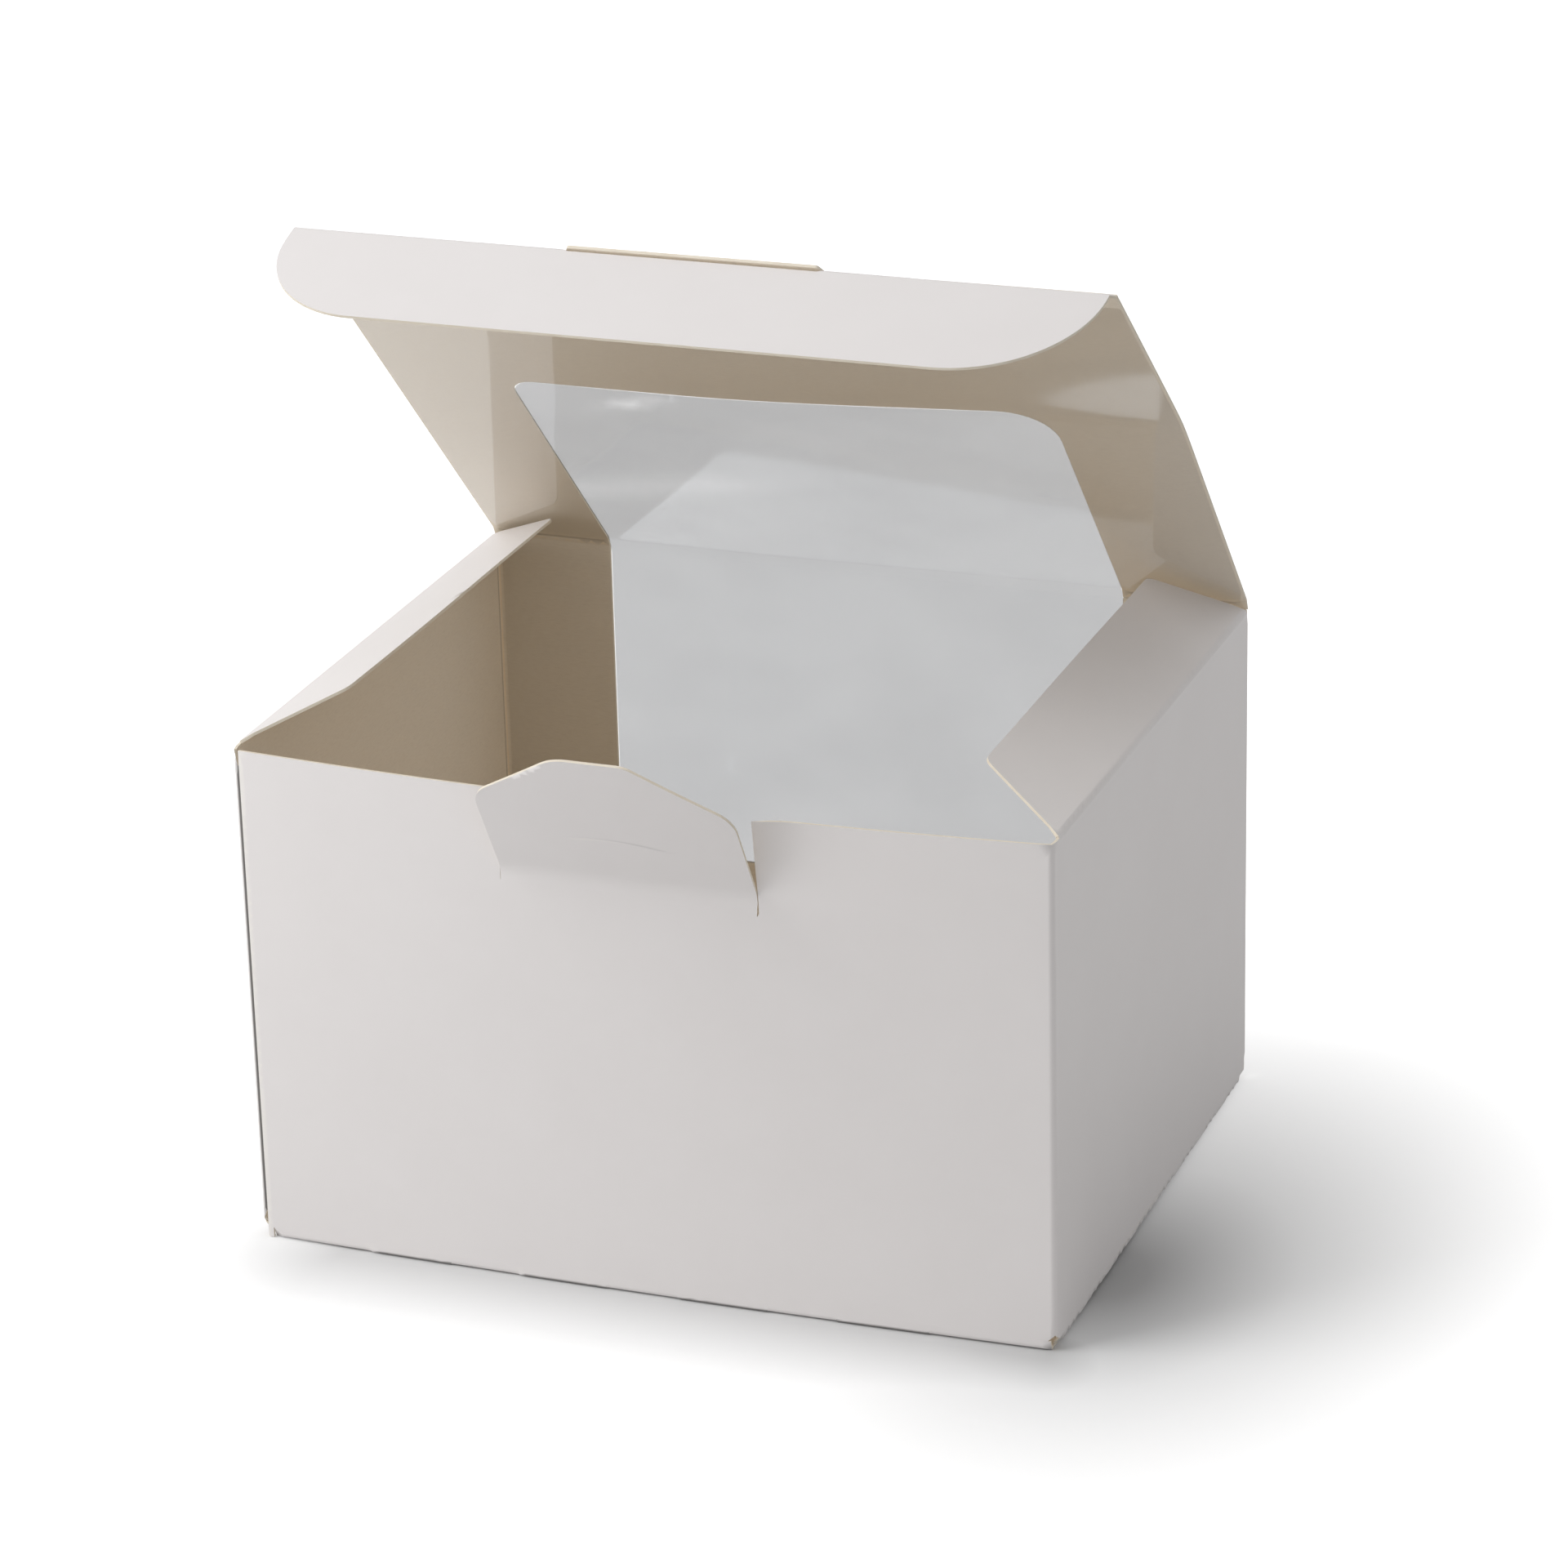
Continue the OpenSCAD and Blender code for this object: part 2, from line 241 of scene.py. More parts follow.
def board_sheet(name, loops, place, columns, rows, finishes, step=2.5 * mm, thickness=board,
                marks=None, patch=()):
    """A closed thin sheet. place(u, v, w) gives the point at w outside the middle of the board."""
    loops = [divided(loop, step) for loop in loops]
    patch = [divided(loop, step) for loop in patch]
    flat, faces, patched = filled(loops, patch, columns, rows)
    used = dict.fromkeys((f[k], f[(k + 1) % 3]) for f in faces for k in range(3))
    rims = [(a, b) for a, b in used if (b, a) not in used]
    n = len(flat)
    flats = [(p.x, p.y, thickness / 2) for p in flat] + [(p.x, p.y, -thickness / 2) for p in flat]
    polygons = [tuple(f) for f in faces] + [tuple(i + n for i in f[::-1]) for f in faces]
    polygons += [(b, a, a + n, b + n) for a, b in rims]
    mesh = bpy.data.meshes.new(name)
    mesh.from_pydata([place(*p) for p in flats], [], polygons)
    keep_on(mesh, "flat", "FLOAT_VECTOR", "POINT", "vector", [c for p in flats for c in p])
    # The marks are painted shade and painted highlight, kept for each point.
    if marks:
        keep_on(mesh, "mark", "FLOAT", "POINT", "value", [marks(*p) for p in flats])
    kinds = [PATCH if p else skin for skin in (OUTSIDE, INSIDE) for p in patched]
    kinds += [EDGE] * len(rims)
    mesh.polygons.foreach_set("material_index", kinds)
    mesh.polygons.foreach_set("use_smooth", [k != EDGE for k in kinds])
    mesh.update()
    cut = {frozenset(e) for a, b in rims for e in ((a, b), (a + n, b + n))}
    is_cut = [frozenset(e.vertices) in cut for e in mesh.edges]
    keep_on(mesh, "sharp_edge", "BOOLEAN", "EDGE", "value", is_cut)
    for finish in finishes:
        mesh.materials.append(finish)
    piece = bpy.data.objects.new(name, mesh)
    bpy.context.scene.collection.objects.link(piece)
    print(name, "has", len(polygons), "faces")
    return piece

# %% [markdown]
# ## Bend it along a crease
# A creased fold is not a knife edge. The board turns over about a millimetre, and a small bead
# rises on its inside. `fold` describes that in two numbers: how far along the first panel's line
# a point lies, and how far out of it. The lid, the flaps and the film all fold by it.

# %% The fold
bead_height, bead_half = 0.12 * mm, 0.45 * mm


def fold(s, w, angle, reach):
    """Where a point s past the crease and w outside the middle lies, as (along, out)."""
    turn = math.radians(angle)
    if s <= -reach:
        along, out, t = s, 0.0, 0.0
    elif s >= reach:
        along, out, t = s * math.cos(turn), -s * math.sin(turn), turn
    else:
        radius = reach / math.tan(turn / 2)
        t = turn * (s + reach) / (2 * reach)
        along = -reach + radius * math.sin(t)
        out = -radius * (1 - math.cos(t))
    if w < 0:
        w -= bead_height * line_at(s, 0, bead_half)
    return along + w * math.sin(t), out + w * math.cos(t)


def near_fold(limit, fine=0.2 * mm):
    """Lines of points across a crease, close together where the board turns."""
    return grid(-limit, limit, fine)


def ripple(u, v, seed):
    """The slight unevenness of handled board."""
    return noise.noise(Vector((u * 16, v * 16, seed)))


past_crease = fold(5 * mm, 0, 90, 1 * mm)
print("5 mm past a right angle lies", [round(x / mm, 2) for x in past_crease], "mm along and out")

# %% [markdown]
# ## Helpers for finishes
# A finish is a small network of nodes. Each helper adds one node, joins it up and hands on what it
# puts out, so that a finish below reads from its noise to its colour.

# %% Node helpers
def new_finish(name):
    """A new material, its nodes, its links and its shader."""
    finish = bpy.data.materials.new(name)
    finish.use_nodes = True
    nodes, links = finish.node_tree.nodes, finish.node_tree.links
    return finish, nodes, links, nodes["Principled BSDF"]


def noise_field(nodes, links, stretch, scale, detail=4.0, roughness=0.6):
    """Noise laid out on the flat sheet, stretched along its grain."""
    flat = nodes.new("ShaderNodeAttribute")
    flat.attribute_name = "flat"
    mapping = nodes.new("ShaderNodeMapping")
    mapping.inputs["Scale"].default_value = stretch
    links.new(flat.outputs["Vector"], mapping.inputs["Vector"])
    field = nodes.new("ShaderNodeTexNoise")
    field.inputs["Scale"].default_value = scale
    field.inputs["Detail"].default_value = detail
    field.inputs["Roughness"].default_value = roughness
    links.new(mapping.outputs["Vector"], field.inputs["Vector"])
    return field.outputs["Fac"]


def colour_band(nodes, links, value, stops):
    """Colours along a value, from (position, colour) stops."""
    ramp = nodes.new("ShaderNodeValToRGB")
    while len(ramp.color_ramp.elements) < len(stops):
        ramp.color_ramp.elements.new(0.5)
    for element, (position, colour) in zip(ramp.color_ramp.elements, stops):
        element.position = position
        element.color = (*colour, 1)
    links.new(value, ramp.inputs["Fac"])
    return ramp.outputs["Color"]


def put(links, value, socket):
    """Give a socket a number, a vector, a colour or what another node puts out."""
    if isinstance(value, bpy.types.NodeSocket):
        links.new(value, socket)
    else:
        socket.default_value = (*value, 1) if socket.type == "RGBA" else value


def maths(nodes, links, kind, first, second, clamp=False):
    """One operation on two values."""
    node = nodes.new("ShaderNodeMath")
    node.operation = kind
    node.use_clamp = clamp
    put(links, first, node.inputs[0])
    put(links, second, node.inputs[1])
    return node.outputs[0]


def ranged(nodes, links, value, low, high, first, last):
    """first where the value is low, last where it is high, and even steps between."""
    node = nodes.new("ShaderNodeMapRange")
    for name, number in (("From Min", low), ("From Max", high), ("To Min", first), ("To Max", last)):
        node.inputs[name].default_value = number
    links.new(value, node.inputs["Value"])
    return node.outputs["Result"]


def mixed(nodes, links, share, first, second):
    """The first colour where share is 0, the second where it is 1."""
    node = nodes.new("ShaderNodeMix")
    node.data_type = "RGBA"
    links.new(share, node.inputs["Factor"])
    put(links, first, node.inputs["A"])
    put(links, second, node.inputs["B"])
    return node.outputs["Result"]


def bump(nodes, links, height, strength, distance, below=None):
    """Small hills and dents from a height, over the ones below if there are any."""
    node = nodes.new("ShaderNodeBump")
    node.inputs["Strength"].default_value = strength
    node.inputs["Distance"].default_value = distance
    links.new(height, node.inputs["Height"])
    if below:
        links.new(below, node.inputs["Normal"])
    return node.outputs["Normal"]


def marked(nodes, links, colour, dark, light):
    """The colour, with painted shade where the sheet's mark is below 0 and painted highlight above it."""
    mark = nodes.new("ShaderNodeAttribute")
    mark.attribute_name = "mark"
    for sign, tone in ((-1, dark), (1, light)):
        share = maths(nodes, links, "MULTIPLY", mark.outputs["Fac"], sign, clamp=True)
        colour = mixed(nodes, links, share, colour, tone)
    return colour


print("helpers for finishes are ready")

# %% [markdown]
# ## Finishes of the board
# The outside is clay-coated board: nearly white, with a soft sheen over very fine fibres. The
# inside is the bare board, warmer and rougher, with visible fibre. The cut edge shows the core. All
# three are made from noise in the sheet's own flat coordinates, so the grain runs on round every
# fold, and none of them is a single flat colour.

# %% Coated outside, bare inside and cut edge
def coated_outside():
    """Nearly white with a soft sheen, slightly cloudy, over very fine fibres."""
    finish, nodes, links, shader = new_finish("coated_white_board")
    cloud = noise_field(nodes, links, (1, 1, 1), 45, 3)
    white = colour_band(nodes, links, cloud, [(0.3, (0.79, 0.758, 0.748)), (0.7, (0.805, 0.774, 0.765))])
    # The dark and light mark tones are painted shade and painted highlight on the white.
    links.new(
        marked(nodes, links, white, (0.06, 0.055, 0.05), (0.88, 0.85, 0.81)),
        shader.inputs["Base Color"],
    )
    shader.inputs["Roughness"].default_value = 0.52
    shader.inputs["Specular IOR Level"].default_value = 0.35
    fibre = noise_field(nodes, links, (1, 3.2, 1), 900, 5)
    swell = noise_field(nodes, links, (1, 1, 1), 90, 2)
    soft = bump(nodes, links, swell, 0.25, 0.12 * mm)
    links.new(bump(nodes, links, fibre, 0.3, 0.02 * mm, soft), shader.inputs["Normal"])
    return finish


def bare_inside():
    """Cream and rough, with fibres that run along the sheet."""
    finish, nodes, links, shader = new_finish("bare_cream_board")
    fibre = noise_field(nodes, links, (1, 5, 1), 700, 5, 0.7)
    cream = colour_band(
        nodes, links, fibre,
        [(0.25, (0.81, 0.72, 0.60)), (0.5, (0.87, 0.78, 0.655)), (0.8, (0.905, 0.825, 0.70))],
    )
    # The dark and light mark tones are painted shade and painted highlight in the creases.
    links.new(
        marked(nodes, links, cream, (0.16, 0.10, 0.05), (0.97, 0.78, 0.52)),
        shader.inputs["Base Color"],
    )
    shader.inputs["Roughness"].default_value = 0.86
    shader.inputs["Specular IOR Level"].default_value = 0.2
    swell = noise_field(nodes, links, (1, 1, 1), 110, 3)
    soft = bump(nodes, links, swell, 0.3, 0.15 * mm)
    links.new(bump(nodes, links, fibre, 0.5, 0.04 * mm, soft), shader.inputs["Normal"])
    return finish


def cut_edge():
    """The core of the board, in thin layers."""
    finish, nodes, links, shader = new_finish("cut_edge_of_board")
    layers = noise_field(nodes, links, (0.3, 0.3, 9), 1100, 4)
    links.new(
        colour_band(nodes, links, layers, [(0.3, (0.72, 0.64, 0.52)), (0.7, (0.87, 0.81, 0.70))]),
        shader.inputs["Base Color"],
    )
    shader.inputs["Roughness"].default_value = 0.9
    links.new(bump(nodes, links, layers, 0.7, 0.05 * mm), shader.inputs["Normal"])
    return finish


board_finishes = [coated_outside(), bare_inside(), cut_edge()]
print("finishes:", [f.name for f in board_finishes])

# %% [markdown]
# ## The walls
# Four walls and the glue flap are one strip of board, wrapped round four upright creases. Flat
# coordinate `u` runs along the strip from the raw edge of the front wall, and `v` is the height.
# The front wall bows out, more at the rim than at the base, where the base flap holds it straight.

# %% Plan of the walls
crease_r = 0.85 * mm
corner_x, corner_y = half_w - board / 2 - crease_r, half_d - board / 2 - crease_r
raw_edge_inset = 1.5 * mm
raw_x = -half_w + raw_edge_inset
turn_length = crease_r * math.pi / 2
front_length = corner_x - raw_x
side_length, back_length = 2 * corner_y, 2 * corner_x
glue_flap_width = 13 * mm
glue_gap = 0.02 * mm
fold_height = pivot["tongue_fold"].z
slit_x = 23.65 * mm
bow_at_base, bow_at_rim = 1.2 * mm, 3.6 * mm
curl_height, curl_width = 1.5 * mm, 7.5 * mm
warp_height, warp_start = 0.16 * mm, 8 * mm


def front_bow(x, z):
    """How far the front wall stands out of its plane, with the curl beside the right slit."""
    share = max(0.0, 1 - (x / corner_x) ** 2)
    bow = (bow_at_base + (bow_at_rim - bow_at_base) * (max(z, 0) / rim) ** 1.4) * share
    up = min(max((z - fold_height) / (rim - fold_height), 0), 1.2)
    past = (x - slit_x + 0.2 * mm) / (curl_width * max(up, 0.05))
    curl = curl_height * up ** 1.3 * (1 - past) ** 2 if 0 < past < 1 else 0
    return bow + curl


def front_y(x, z):
    """The middle of the front wall's board, from front to back."""
    return -(half_d - board / 2) - front_bow(x, z)


turns = [(corner_x, -corner_y, -90), (corner_x, corner_y, 0), (-corner_x, corner_y, 90),
         (-corner_x, -corner_y + board, 180)]
lines = [side_length, back_length, side_length - board]


def along_walls(u, v):
    """Point and outward direction in plan at u along the strip, at height v."""
    if u <= front_length:
        x = raw_x + u
        slope = (front_y(x + 0.3 * mm, v) - front_y(x - 0.3 * mm, v)) / (0.6 * mm)
        out = Vector((slope, -1)).normalized()
        return Vector((x, front_y(x, v))), out
    u -= front_length
    for (cx, cy, first), line in zip(turns, lines + [glue_flap_width]):
        if u <= turn_length:
            a = math.radians(first) + u / crease_r
            out = Vector((math.cos(a), math.sin(a)))
            return Vector((cx, cy)) + out * crease_r, out
        u -= turn_length
        a = math.radians(first + 90)
        out = Vector((math.cos(a), math.sin(a)))
        if u <= line:
            break
        u -= line
    if first == 180:
        x = -corner_x + u
        return Vector((x, front_y(x, v) + board + glue_gap)), Vector((0, -1))
    away = min(u, line - u)
    warp = warp_height * ripple(u, v, first) * min(1, away / warp_start) * min(1, (rim - v) / warp_start)
    return Vector((cx, cy)) + out * (crease_r + warp) + Vector((-out.y, out.x)) * u, out


def wall_place(u, v, w):
    """Where a point of the strip lies in the box."""
    point, out = along_walls(u, v)
    point = point + out * w
    return (point.x, point.y, v)


print("the front wall bows out", round(front_bow(0, rim) / mm, 1), "mm at its rim")

# %% [markdown]
# The strip's outline is where the die's work shows. Two slits beside the lock tongue are cut down
# from the rim, and the right one ends in a small hook. The window is cut from the back wall, the
# glue flap tapers, and a relief notch sits at the foot of every upright crease, so that the base
# flaps can fold in without tearing the board.

# %% Outline of the walls
u_right = front_length + turn_length
u_back = u_right + side_length + turn_length
u_left = u_back + back_length + turn_length
u_glue = u_left + side_length - board + turn_length
u_end = u_glue + glue_flap_width
foot_front, foot_side, foot_back = 2.0 * mm, 2.0 * mm, 2.5 * mm
window_half = 51 * mm
window_bottom = rim - 62 * mm
window_corner = 6 * mm
hinge = pivot["lid_hinge"]
dust_pivot = pivot["right_dust_fold"]
hinge_reach = 1.1 * mm
back_top = hinge.z - hinge_reach
dust_reach = 0.7 * mm
flap_top = dust_pivot.z - dust_reach
flap_front, flap_back = -(half_d - 3.5 * mm), half_d - 1.5 * mm
notch_half = 0.5 * mm


def wall_outline():
    """The strip's corners, along the foot to the glue flap and back along the top."""
    back_middle = u_back + back_length / 2
    half_turn = turn_length / 2
    left_slit, right_slit = -slit_x - raw_x, slit_x - raw_x
    right_flap = u_right + corner_y + flap_front, u_right + corner_y + flap_back
    left_flap = u_left + corner_y - flap_back, u_left + corner_y - flap_front
    foot = [
        (0, 0.1 * mm), (1 * mm, 0.1 * mm), (1 * mm, foot_front), (front_length - notch_half, foot_front),
        (front_length + half_turn, foot_front + 1.1 * mm),
        (u_right + notch_half, foot_side), (u_back - turn_length - notch_half, foot_side),
        (u_back - half_turn, foot_back + 1.2 * mm),
        (u_back + notch_half, foot_back), (u_left - turn_length - notch_half, foot_back),
        (u_left - half_turn, foot_back + 1.2 * mm),
        (u_left + notch_half, foot_side), (u_glue - turn_length - notch_half, foot_side),
        (u_glue - half_turn, foot_side + 1.2 * mm),
    ]
    glue_flap = [
        (u_glue, 5 * mm), (u_end, 11 * mm), (u_end, rim - 9 * mm), (u_glue, rim - 3 * mm),
        (u_glue - half_turn, rim - 0.2 * mm),
    ]
    left_wall = [
        (left_flap[1], rim), (left_flap[1], flap_top), (left_flap[0], flap_top), (left_flap[0], rim),
        (u_left - half_turn, rim), (u_left - turn_length - 0.2 * mm, rim + 0.2 * mm),
    ]
    back_wall = [
        (u_left - turn_length - 0.3 * mm, back_top), (back_middle + window_half, back_top),
        (back_middle + window_half, window_bottom, window_corner),
        (back_middle - window_half, window_bottom, window_corner),
        (back_middle - window_half, back_top), (u_back + 0.3 * mm, back_top),
    ]
    right_wall = [
        (u_back + 0.2 * mm, rim + 0.2 * mm), (u_back - half_turn, rim),
        (right_flap[1], rim), (right_flap[1], flap_top), (right_flap[0], flap_top), (right_flap[0], rim),
    ]
    front_wall = [
        (front_length + half_turn, rim), (right_slit, rim), (right_slit, fold_height - 0.6 * mm),
        (right_slit - 0.4 * mm, fold_height - 1.2 * mm), (right_slit - 0.25 * mm, fold_height),
        (left_slit, fold_height), (left_slit, rim), (0, rim),
    ]
    corners = foot + glue_flap + left_wall + back_wall + right_wall + front_wall
    return rounded([c if len(c) == 3 else (*c, 0) for c in corners])


print("the strip is", round(u_end / mm, 1), "mm long")

# %% [markdown]
# A wall only needs points where it bends, so they stand close together on the creases. Some things
# are too fine for the mesh and are painted into the colour by the marks: painted shade in the gap of
# the glued corner and a painted highlight along the raw edge beside it outside, and a line of
# painted highlight and one of painted shade in each crease inside.

# %% The folded walls
turn_starts = [front_length, u_right + side_length, u_back + back_length, u_left + side_length - board]


def wall_columns():
    """Where along the strip the inner points stand."""
    margin = 0.45 * mm
    columns = [0.35 * mm, 0.7 * mm, 1 * mm] + grid(2 * mm, front_length, 2 * mm)
    for first, run in zip(turn_starts, lines + [glue_flap_width]):
        columns += grid(first - margin, first + turn_length + margin, turn_length / 8)
        columns += grid(first + turn_length, first + turn_length + run, 3 * mm)[1:-1]
    return columns


def wall_marks(u, v, w):
    """Painted shade and highlight: at the glued corner outside, and in each crease inside."""
    if w > 0:
        seam = (u - u_glue) / mm
        # Painted shade in the gap of the glued corner, and a painted highlight along the front wall's raw
        # edge.
        gap = 0.9 * held((seam + 0.42) / 0.2) * held((2.5 - seam) / 0.5)
        edge_highlight = 0.8 * held((0.9 * mm - u) / (0.3 * mm))
        return edge_highlight - gap
    mark = 0.0
    # In each crease inside: a painted highlight on the bead and painted shade in the corner.
    for first in turn_starts:
        t = (u - first) / turn_length
        mark += 0.55 * line_at(t, 0.3, 0.16) - 0.5 * line_at(t, 0.72, 0.16)
    return mark


walls = board_sheet("carton_walls", [wall_outline()], wall_place, wall_columns(),
                    grid(3 * mm, rim, 2.4 * mm), board_finishes, marks=wall_marks)
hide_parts("carton_body")
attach(walls, "carton")

# %% [markdown]
# ## The locked base
# Four flaps close the base: the front one lies outermost, the two side flaps lie on it, and the
# back one lies on those. The front flap's lock passes up through a notch of the back flap. The
# front flap's crease is cut through in places, so that thick board folds sharply there, and those
# cuts show as small steps along the bottom edge of the front wall, in its shape and in a line of
# painted shade under it.

# %% Places of the base flaps
cut_marks = [m * mm for m in (20.3, 36, 49.1, 65.8, 79.4, 96, 108.6, 125.6)]
pressed_reach, cut_reach, base_reach = 0.85 * mm, 0.45 * mm, 0.5 * mm
level = {"front": 0.25 * mm, "side": 0.77 * mm, "back": 1.29 * mm}
lock_half, lock_clearance = 25 * mm, 0.1 * mm
lock_start, lock_run, lock_lift = 8 * mm, 5 * mm, 1.56 * mm


def cut_through(x):
    """Whether the front crease is cut through here, and not only pressed."""
    return sum(1 for m in cut_marks if x - raw_x > m) % 2 == 1


def front_flap_place(x, s, w):
    """The front flap bows with its wall, and its lock rises over the back flap."""
    along, out = fold(s, w, 90, cut_reach if cut_through(x) else pressed_reach)
    z = max(level["front"] - along, 0)
    y = front_y(x, z) - out
    lift = lock_lift * eased((y - lock_start) / lock_run) if abs(x) < lock_half + lock_clearance else 0
    return (x, y, z + lift)


def side_flap_place(side):
    def place(y, s, w):
        along, out = fold(s, w, 90, base_reach)
        return (side * (half_w - board / 2 + out), side * y, level["side"] - along)
    return place


def back_flap_place(x, s, w):
    along, out = fold(s, w, 90, base_reach)
    return (-x, half_d - board / 2 + out, level["back"] - along)


def fold_marks(x, s, w):
    """Painted shade under the front wall, deeper where the fold is cut, and painted highlight at two nicks.
    """
    if w < 0:
        return 0.0
    top, dark = (-0.45 * mm, 0.75) if cut_through(x) else (-0.15 * mm, 0.45)
    top += 0.15 * mm * noise.noise(Vector((x * 700, 0, 4.0)))
    # Painted shade along the fold, broken by painted highlights at two nicks.
    depth = dark * held((s - top) / (0.2 * mm))
    nick = max(line_at(x - raw_x, m, 0.35 * mm) for m in (cut_marks[0], cut_marks[2]))
    return 0.3 * nick - depth * (1 - nick)


print("the base is", round((level["back"] + board / 2) / mm, 2), "mm high beside its lock")

# %% [markdown]
# Each outline is drawn as its right half and mirrored. Only the front flap is cut short on its left
# side, at the raw edge of the front wall, where the glued corner needs the room.

# %% Base flaps
def mirrored(half):
    """A whole outline from the corners of its right half, which start at the crease."""
    left = [(-x, y, radius) for x, y, radius in half]
    return left[:1] + half + left[:0:-1]


def base_outlines():
    """The front flap, a side flap and the back flap."""
    room, taper, shoulder = 1.1 * mm, 2 * mm, 16 * mm
    side, end = half_w - room, half_d - 1.9 * mm
    notch = lock_half + 0.3 * mm
    front = mirrored([
        (side, -foot_front + level["front"], 0), (side, 3 * mm, 0), (side - taper, 55 * mm, 0),
        (side - shoulder, 71 * mm, 3 * mm), (lock_half, 71 * mm, 0), (lock_half, 86 * mm, 6 * mm),
    ])
    front[0], front[-1] = ((raw_x + room, *corner[1:]) for corner in (front[0], front[-1]))
    flank = mirrored([
        (end, -foot_side + level["side"], 0), (end, 1 * mm, 0), (end - shoulder, 50 * mm, 4 * mm),
    ])
    back = mirrored([
        (side, -foot_back + level["back"], 0), (side, 3 * mm, 0), (side - taper, 51 * mm, 0),
        (side - shoulder, 67 * mm, 3 * mm), (notch, 67 * mm, 0), (notch, 46.6 * mm, 0),
    ])
    return rounded(front), rounded(flank), rounded(back)


def base_flap(name, outline, place, cuts):
    """One flap of the base, with finer columns and marks if its crease has cuts."""
    width = max(p.x for p in outline)
    rows = near_fold(1.2 * mm) + grid(2 * mm, max(p.y for p in outline), 3 * mm)
    columns = grid(-width, width, 1.5 * mm if cuts else 3 * mm)
    columns += [cut + raw_x + beside for cut in cuts for beside in (-0.15 * mm, 0.15 * mm)]
    piece = board_sheet(name, [outline], place, columns, rows, board_finishes,
                        marks=fold_marks if cuts else None)
    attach(piece, "carton")


front_outline, flank_outline, back_outline = base_outlines()
base_flap("front_base_flap", front_outline, front_flap_place, cut_marks)
base_flap("right_base_flap", flank_outline, side_flap_place(1), [])
base_flap("left_base_flap", flank_outline, side_flap_place(-1), [])
base_flap("back_base_flap", back_outline, back_flap_place, [])

# %% [markdown]
# ## The lid
# The lid grows out of the back wall, so its sheet starts a millimetre below the crease. The two
# narrow strips beside the window carry all of the hinge. The lid is slightly domed at the right
# edge of the window, where its film pulls on it.

# %% Lid
lid_turn = 90 - lid_angle
lid_out_y, lid_out_z = math.sin(math.radians(lid_angle)), math.cos(math.radians(lid_angle))
lid_half = half_w - 0.25 * mm
lid_window_length = 65 * mm
right_corner, left_corner = 10 * mm, 5 * mm
dome_height, dome_peak = 3.6 * mm, lid_window_length - 2 * mm
dome_left, dome_run = -20 * mm, 95 * mm
tuck_reach = 1.0 * mm
stub_half, stub_length = 23.5 * mm, 1.0 * mm
stub_slant, stub_corner = 0.8 * mm, 0.6 * mm


def lid_dome(x, s):
    """How far the lid stands out of its plane, x to the right and s from the hinge."""
    t = held(s / dome_peak if s < dome_peak else (lid_length - s) / (lid_length - dome_peak))
    # The root takes the sharp ridge off a plain slope up and down.
    soft = 1 - math.sqrt((1 - t) ** 2 + 0.004) + 0.063
    return dome_height * soft * eased((x - dome_left) / dome_run)


def lid_place(x, s, w):
    along, out = fold(s, w, lid_turn, hinge_reach)
    dome = lid_dome(-x, s)
    return (-x, hinge.y + out + dome * lid_out_y, hinge.z + along + dome * lid_out_z)


def lid_outline():
    """The lid with its window, which is open to the back, and with the lock stub in front."""
    front, stub_end = lid_length - tuck_reach, lid_length + stub_length
    return rounded([
        (-lid_half, -hinge_reach, 0), (-window_half, -hinge_reach, 0),
        (-window_half, lid_window_length, right_corner), (window_half, lid_window_length, left_corner),
        (window_half, -hinge_reach, 0), (lid_half, -hinge_reach, 0),
        (lid_half, front, 0), (stub_half, front, 0), (stub_half - stub_slant, stub_end, stub_corner),
        (stub_slant - stub_half, stub_end, stub_corner), (-stub_half, front, 0), (-lid_half, front, 0),
    ])


def hinge_marks(x, s, w):
    """A painted highlight and a line of painted shade along the inside of the hinge crease."""
    if w > 0:
        return 0.0
    return 0.5 * line_at(s, -0.35 * mm, 0.25 * mm) - 0.45 * line_at(s, 0.35 * mm, 0.25 * mm)


lid = board_sheet("lid_board", [lid_outline()], lid_place, grid(-lid_half, lid_half, 2.5 * mm),
                  near_fold(1.4 * mm) + grid(3 * mm, lid_length, 2.5 * mm), board_finishes,
                  marks=hinge_marks)
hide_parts("lid_panel")
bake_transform(lid)

# %% [markdown]
# ## The tuck flap
# It is creased on the lid's front edge, with big round corners so that it slips in behind the front
# wall. The right corner is a little rounder than the left one. The slot in its middle is where the
# lock stub was cut free: the stub stays in the lid's plane and stands out past the crease.

# %% Tuck flap
tuck_half = 74 * mm
tuck_height = 24.5 * mm
tuck_right_corner, tuck_left_corner = 23.8 * mm, 20 * mm
stub_slot = stub_half + 0.15 * mm
slot_depth = 0.8 * mm


def tuck_place(x, s, w):
    along, out = fold(s, w, tuck_angle, tuck_reach)
    along += lid_length
    return (-x, hinge.y - along * lid_out_z + out * lid_out_y,
            hinge.z + along * lid_out_y + out * lid_out_z)


def tuck_outline():
    """The flap, as wide as the lid at the crease and a little narrower below it."""
    return rounded([
        (-lid_half, -tuck_reach, 0), (-stub_slot, -tuck_reach, 0),
        (stub_slant - stub_slot, slot_depth, stub_corner),
        (stub_slot - stub_slant, slot_depth, stub_corner),
        (stub_slot, -tuck_reach, 0), (lid_half, -tuck_reach, 0), (tuck_half, 0.6 * mm, 0),
        (tuck_half, tuck_height, tuck_left_corner), (-tuck_half, tuck_height, tuck_right_corner),
        (-tuck_half, 0.6 * mm, 0),
    ])


